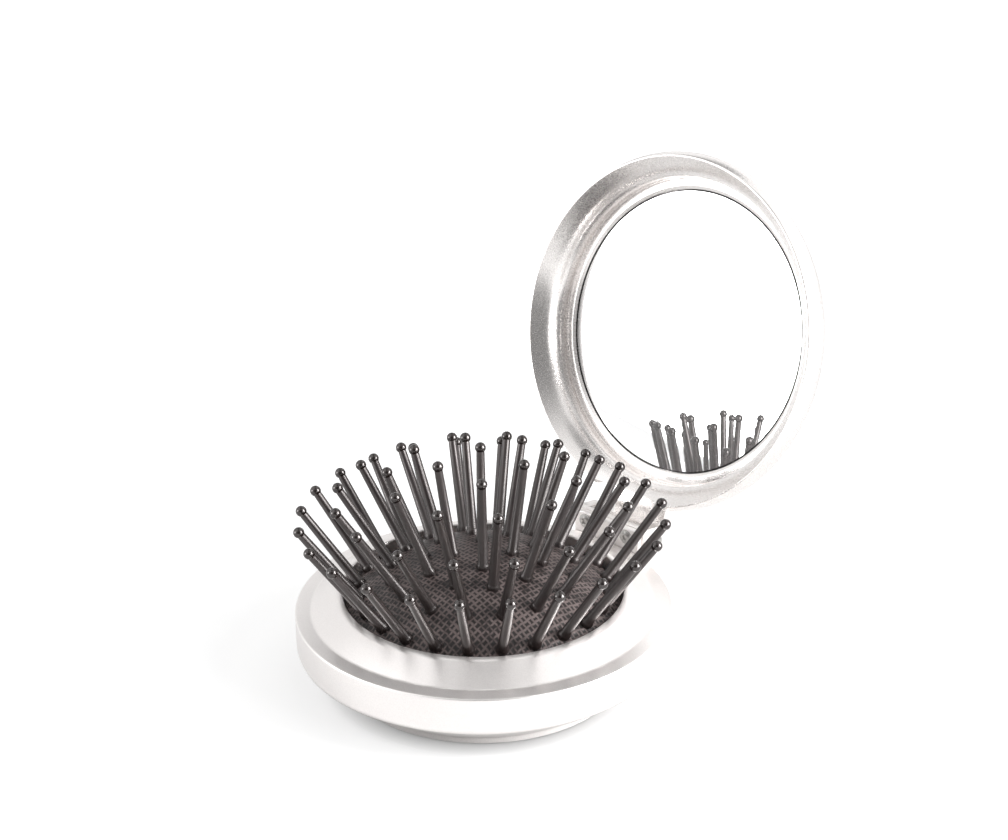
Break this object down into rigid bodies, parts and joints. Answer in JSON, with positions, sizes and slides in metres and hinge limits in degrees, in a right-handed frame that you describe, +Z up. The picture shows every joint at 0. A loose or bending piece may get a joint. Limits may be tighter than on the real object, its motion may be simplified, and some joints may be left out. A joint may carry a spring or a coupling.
{
  "type": "folding hairbrush with mirror",
  "caption": "Round folding pocket hairbrush: ball-tipped bristles on a dome rise as the hinged lid with a round mirror swings open.",
  "frame": {"origin": "on the base's axis, in the plane that the foot ring rests on", "axes": "+Z up along the base's axis, +Y toward the lid's hinge, +X along the hinge pin"},
  "size_m": [0.068, 0.1002, 0.0838],
  "materials": {
    "silver_paint": "satin metallic silver with a fine sparkle",
    "dark_plastic": "matt black",
    "cushion_rubber": "dark grey rubber with a fine woven texture",
    "nylon": "glossy charcoal",
    "steel": "plain steel",
    "mirror": "silvered mirror",
    "foam": "matt foam pad"
  },
  "bodies": {
    "base": {"base_shell": "silver_paint", "top_ring": "silver_paint", "hinge_bracket": "silver_paint", "hinge_screws": "steel", "hinge_pin": "steel"},
    "lid": {"lid_shell": "silver_paint", "lid_ring": "silver_paint", "mirror": "mirror", "mirror_pad": "foam"},
    "brush_plate": {"push_plate": "dark_plastic", "cushion": "cushion_rubber", "cushion_ring": "dark_plastic"},
    "outer_bristles_01_pair": {"outer_bristles_01": "nylon"},
    "outer_bristles_02_pair": {"outer_bristles_02": "nylon"},
    "outer_bristles_03_pair": {"outer_bristles_03": "nylon"},
    "outer_bristles_04_pair": {"outer_bristles_04": "nylon"},
    "outer_bristles_05_pair": {"outer_bristles_05": "nylon"},
    "outer_bristles_06_pair": {"outer_bristles_06": "nylon"},
    "outer_bristles_07_pair": {"outer_bristles_07": "nylon"},
    "outer_bristles_08_pair": {"outer_bristles_08": "nylon"},
    "outer_bristles_09_pair": {"outer_bristles_09": "nylon"},
    "outer_bristles_10_pair": {"outer_bristles_10": "nylon"},
    "outer_bristles_11_pair": {"outer_bristles_11": "nylon"},
    "outer_bristles_12_pair": {"outer_bristles_12": "nylon"},
    "middle_bristles_01_pair": {"middle_bristles_01": "nylon"},
    "middle_bristles_02_pair": {"middle_bristles_02": "nylon"},
    "middle_bristles_03_pair": {"middle_bristles_03": "nylon"},
    "middle_bristles_04_pair": {"middle_bristles_04": "nylon"},
    "middle_bristles_05_pair": {"middle_bristles_05": "nylon"},
    "middle_bristles_06_pair": {"middle_bristles_06": "nylon"},
    "middle_bristles_07_pair": {"middle_bristles_07": "nylon"},
    "middle_bristles_08_pair": {"middle_bristles_08": "nylon"},
    "inner_bristles_01_pair": {"inner_bristles_01": "nylon"},
    "inner_bristles_02_pair": {"inner_bristles_02": "nylon"},
    "inner_bristles_03_pair": {"inner_bristles_03": "nylon"},
    "inner_bristles_04_pair": {"inner_bristles_04": "nylon"},
    "inner_bristles_05_pair": {"inner_bristles_05": "nylon"},
    "centre_bristles_group": {"centre_bristles": "nylon"}
  },
  "joints": [
    {"name": "lid_hinge", "type": "hinge", "parent": "base", "child": "lid", "pos_m": [0, 0.0385, 0.015], "axis": [1, 0, 0], "range_deg": [0, 107]},
    {"name": "brush_lift", "type": "slide", "parent": "base", "child": "brush_plate", "axis": [0, 0, -1], "range_m": [0, 0.0099], "deforming": ["cushion"]},
    {"name": "outer_fold_01", "type": "hinge", "parent": "brush_plate", "child": "outer_bristles_01_pair", "pos_m": [0, -0.02854, 0.0131], "axis": [-1, 0, 0], "range_deg": [0, 38]},
    {"name": "outer_fold_02", "type": "hinge", "parent": "brush_plate", "child": "outer_bristles_02_pair", "pos_m": [0.01427, -0.02471, 0.0131], "axis": [-0.866, -0.5, 0], "range_deg": [0, 38]},
    {"name": "outer_fold_03", "type": "hinge", "parent": "brush_plate", "child": "outer_bristles_03_pair", "pos_m": [0.02471, -0.01427, 0.0131], "axis": [-0.5, -0.866, 0], "range_deg": [0, 38]},
    {"name": "outer_fold_04", "type": "hinge", "parent": "brush_plate", "child": "outer_bristles_04_pair", "pos_m": [0.02854, 0, 0.0131], "axis": [0, -1, 0], "range_deg": [0, 38]},
    {"name": "outer_fold_05", "type": "hinge", "parent": "brush_plate", "child": "outer_bristles_05_pair", "pos_m": [0.02471, 0.01427, 0.0131], "axis": [0.5, -0.866, 0], "range_deg": [0, 38]},
    {"name": "outer_fold_06", "type": "hinge", "parent": "brush_plate", "child": "outer_bristles_06_pair", "pos_m": [0.01427, 0.02471, 0.0131], "axis": [0.866, -0.5, 0], "range_deg": [0, 38]},
    {"name": "outer_fold_07", "type": "hinge", "parent": "brush_plate", "child": "outer_bristles_07_pair", "pos_m": [0, 0.02854, 0.0131], "axis": [1, 0, 0], "range_deg": [0, 38]},
    {"name": "outer_fold_08", "type": "hinge", "parent": "brush_plate", "child": "outer_bristles_08_pair", "pos_m": [-0.01427, 0.02471, 0.0131], "axis": [0.866, 0.5, 0], "range_deg": [0, 38]},
    {"name": "outer_fold_09", "type": "hinge", "parent": "brush_plate", "child": "outer_bristles_09_pair", "pos_m": [-0.02471, 0.01427, 0.0131], "axis": [0.5, 0.866, 0], "range_deg": [0, 38]},
    {"name": "outer_fold_10", "type": "hinge", "parent": "brush_plate", "child": "outer_bristles_10_pair", "pos_m": [-0.02854, 0, 0.0131], "axis": [0, 1, 0], "range_deg": [0, 38]},
    {"name": "outer_fold_11", "type": "hinge", "parent": "brush_plate", "child": "outer_bristles_11_pair", "pos_m": [-0.02471, -0.01427, 0.0131], "axis": [-0.5, 0.866, 0], "range_deg": [0, 38]},
    {"name": "outer_fold_12", "type": "hinge", "parent": "brush_plate", "child": "outer_bristles_12_pair", "pos_m": [-0.01427, -0.02471, 0.0131], "axis": [-0.866, 0.5, 0], "range_deg": [0, 38]},
    {"name": "middle_fold_01", "type": "hinge", "parent": "brush_plate", "child": "middle_bristles_01_pair", "pos_m": [0, -0.03175, 0.01635], "axis": [-1, 0, 0], "range_deg": [0, 30]},
    {"name": "middle_fold_02", "type": "hinge", "parent": "brush_plate", "child": "middle_bristles_02_pair", "pos_m": [0.02245, -0.02245, 0.01635], "axis": [-0.7071, -0.7071, 0], "range_deg": [0, 30]},
    {"name": "middle_fold_03", "type": "hinge", "parent": "brush_plate", "child": "middle_bristles_03_pair", "pos_m": [0.03175, 0, 0.01635], "axis": [0, -1, 0], "range_deg": [0, 30]},
    {"name": "middle_fold_04", "type": "hinge", "parent": "brush_plate", "child": "middle_bristles_04_pair", "pos_m": [0.02245, 0.02245, 0.01635], "axis": [0.7071, -0.7071, 0], "range_deg": [0, 30]},
    {"name": "middle_fold_05", "type": "hinge", "parent": "brush_plate", "child": "middle_bristles_05_pair", "pos_m": [0, 0.03175, 0.01635], "axis": [1, 0, 0], "range_deg": [0, 30]},
    {"name": "middle_fold_06", "type": "hinge", "parent": "brush_plate", "child": "middle_bristles_06_pair", "pos_m": [-0.02245, 0.02245, 0.01635], "axis": [0.7071, 0.7071, 0], "range_deg": [0, 30]},
    {"name": "middle_fold_07", "type": "hinge", "parent": "brush_plate", "child": "middle_bristles_07_pair", "pos_m": [-0.03175, 0, 0.01635], "axis": [0, 1, 0], "range_deg": [0, 30]},
    {"name": "middle_fold_08", "type": "hinge", "parent": "brush_plate", "child": "middle_bristles_08_pair", "pos_m": [-0.02245, -0.02245, 0.01635], "axis": [-0.7071, 0.7071, 0], "range_deg": [0, 30]},
    {"name": "inner_fold_01", "type": "hinge", "parent": "brush_plate", "child": "inner_bristles_01_pair", "pos_m": [0, -0.04574, 0.01753], "axis": [-1, 0, 0], "range_deg": [0, 17]},
    {"name": "inner_fold_02", "type": "hinge", "parent": "brush_plate", "child": "inner_bristles_02_pair", "pos_m": [0.0435, -0.01413, 0.01753], "axis": [-0.309, -0.9511, 0], "range_deg": [0, 17]},
    {"name": "inner_fold_03", "type": "hinge", "parent": "brush_plate", "child": "inner_bristles_03_pair", "pos_m": [0.02688, 0.037, 0.01753], "axis": [0.809, -0.5878, 0], "range_deg": [0, 17]},
    {"name": "inner_fold_04", "type": "hinge", "parent": "brush_plate", "child": "inner_bristles_04_pair", "pos_m": [-0.02688, 0.037, 0.01753], "axis": [0.809, 0.5878, 0], "range_deg": [0, 17]},
    {"name": "inner_fold_05", "type": "hinge", "parent": "brush_plate", "child": "inner_bristles_05_pair", "pos_m": [-0.0435, -0.01413, 0.01753], "axis": [-0.309, 0.9511, 0], "range_deg": [0, 17]},
    {"name": "centre_sink", "type": "slide", "parent": "brush_plate", "child": "centre_bristles_group", "axis": [0, 0, -1], "range_m": [0, 0.01182]}
  ],
  "couplings": [
    {"joint": "brush_lift", "follows": "lid_hinge", "m_per_rad": 0.0053011},
    {"joint": "outer_fold_01", "follows": "lid_hinge", "ratio": 0.35514},
    {"joint": "outer_fold_02", "follows": "lid_hinge", "ratio": 0.35514},
    {"joint": "outer_fold_03", "follows": "lid_hinge", "ratio": 0.35514},
    {"joint": "outer_fold_04", "follows": "lid_hinge", "ratio": 0.35514},
    {"joint": "outer_fold_05", "follows": "lid_hinge", "ratio": 0.35514},
    {"joint": "outer_fold_06", "follows": "lid_hinge", "ratio": 0.35514},
    {"joint": "outer_fold_07", "follows": "lid_hinge", "ratio": 0.35514},
    {"joint": "outer_fold_08", "follows": "lid_hinge", "ratio": 0.35514},
    {"joint": "outer_fold_09", "follows": "lid_hinge", "ratio": 0.35514},
    {"joint": "outer_fold_10", "follows": "lid_hinge", "ratio": 0.35514},
    {"joint": "outer_fold_11", "follows": "lid_hinge", "ratio": 0.35514},
    {"joint": "outer_fold_12", "follows": "lid_hinge", "ratio": 0.35514},
    {"joint": "middle_fold_01", "follows": "lid_hinge", "ratio": 0.28037},
    {"joint": "middle_fold_02", "follows": "lid_hinge", "ratio": 0.28037},
    {"joint": "middle_fold_03", "follows": "lid_hinge", "ratio": 0.28037},
    {"joint": "middle_fold_04", "follows": "lid_hinge", "ratio": 0.28037},
    {"joint": "middle_fold_05", "follows": "lid_hinge", "ratio": 0.28037},
    {"joint": "middle_fold_06", "follows": "lid_hinge", "ratio": 0.28037},
    {"joint": "middle_fold_07", "follows": "lid_hinge", "ratio": 0.28037},
    {"joint": "middle_fold_08", "follows": "lid_hinge", "ratio": 0.28037},
    {"joint": "inner_fold_01", "follows": "lid_hinge", "ratio": 0.15888},
    {"joint": "inner_fold_02", "follows": "lid_hinge", "ratio": 0.15888},
    {"joint": "inner_fold_03", "follows": "lid_hinge", "ratio": 0.15888},
    {"joint": "inner_fold_04", "follows": "lid_hinge", "ratio": 0.15888},
    {"joint": "inner_fold_05", "follows": "lid_hinge", "ratio": 0.15888},
    {"joint": "centre_sink", "follows": "lid_hinge", "m_per_rad": 0.0063293}
  ]
}
